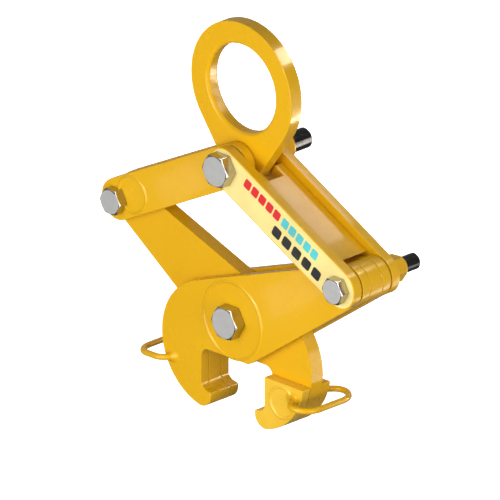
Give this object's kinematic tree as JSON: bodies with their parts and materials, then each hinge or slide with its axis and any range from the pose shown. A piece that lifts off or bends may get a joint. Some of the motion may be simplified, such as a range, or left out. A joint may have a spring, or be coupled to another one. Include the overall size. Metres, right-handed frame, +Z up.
{
  "type": "beam clamp",
  "caption": "Scissor beam clamp: lifting eye over paired links and crossed jaw arms on through bolts, hooked jaws that close on a rail head, and a bent carrying handle on each jaw.",
  "frame": {"origin": "centre of the lifting eye's hole, in the mid-plane of the plates", "axes": "+Z up, through the eye and the main pivot; +X towards the labelled right link; +Y along the bolts, from heads to nuts"},
  "size_m": [0.3455, 0.1215, 0.395],
  "materials": {
    "yellow_paint": "gloss enamel over steel plate",
    "zinc_steel": "bright zinc plate",
    "bronze": "turned, satin"
  },
  "bodies": {
    "lifting_eye": {"lifting_eye": "yellow_paint", "eye_bush": "bronze"},
    "top_pivot": {"top_bolt": "zinc_steel", "top_washer": "yellow_paint", "top_nut": "yellow_paint"},
    "left_link": {"left_link_front": "yellow_paint", "left_link_rear": "yellow_paint", "left_bolt": "zinc_steel", "left_washer": "yellow_paint", "left_nut": "yellow_paint"},
    "right_link": {"right_link_front_cheek": "yellow_paint", "right_link_rear_cheek": "yellow_paint", "right_link_web": "yellow_paint", "right_bolt": "zinc_steel", "right_washer": "yellow_paint", "right_nut": "yellow_paint"},
    "centre_arm": {"centre_arm": "yellow_paint", "left_bush": "bronze", "main_bush": "bronze", "right_jaw_front_block": "yellow_paint", "right_jaw_rear_block": "yellow_paint", "right_handle": "yellow_paint"},
    "side_arms": {"side_arm_front": "yellow_paint", "side_arm_rear": "yellow_paint", "left_jaw_block": "yellow_paint", "left_handle": "yellow_paint", "right_spacer_tube": "yellow_paint", "main_bolt": "zinc_steel", "main_washer": "yellow_paint", "main_nut": "yellow_paint"}
  },
  "joints": [
    {"name": "eye_swing", "type": "hinge", "parent": "lifting_eye", "child": "top_pivot", "pos_m": [0, 0, -0.0737], "axis": [0, 1, 0], "range_deg": [-20, 20]},
    {"name": "left_link_fold", "type": "hinge", "parent": "top_pivot", "child": "left_link", "pos_m": [0, 0, -0.0737], "axis": [0, 1, 0], "range_deg": [-5, 8]},
    {"name": "right_link_fold", "type": "hinge", "parent": "top_pivot", "child": "right_link", "pos_m": [0, 0, -0.0737], "axis": [0, 1, 0], "range_deg": [-8, 5]},
    {"name": "centre_arm_fold", "type": "hinge", "parent": "left_link", "child": "centre_arm", "pos_m": [-0.1525, 0, -0.1523], "axis": [0, 1, 0], "range_deg": [-16, 10]},
    {"name": "side_arms_fold", "type": "hinge", "parent": "right_link", "child": "side_arms", "pos_m": [0.1525, 0, -0.1523], "axis": [0, 1, 0], "range_deg": [-10, 16]}
  ],
  "couplings": [
    {"joint": "right_link_fold", "follows": "left_link_fold", "ratio": -1},
    {"joint": "centre_arm_fold", "follows": "left_link_fold", "ratio": -2},
    {"joint": "side_arms_fold", "follows": "left_link_fold", "ratio": 2}
  ]
}
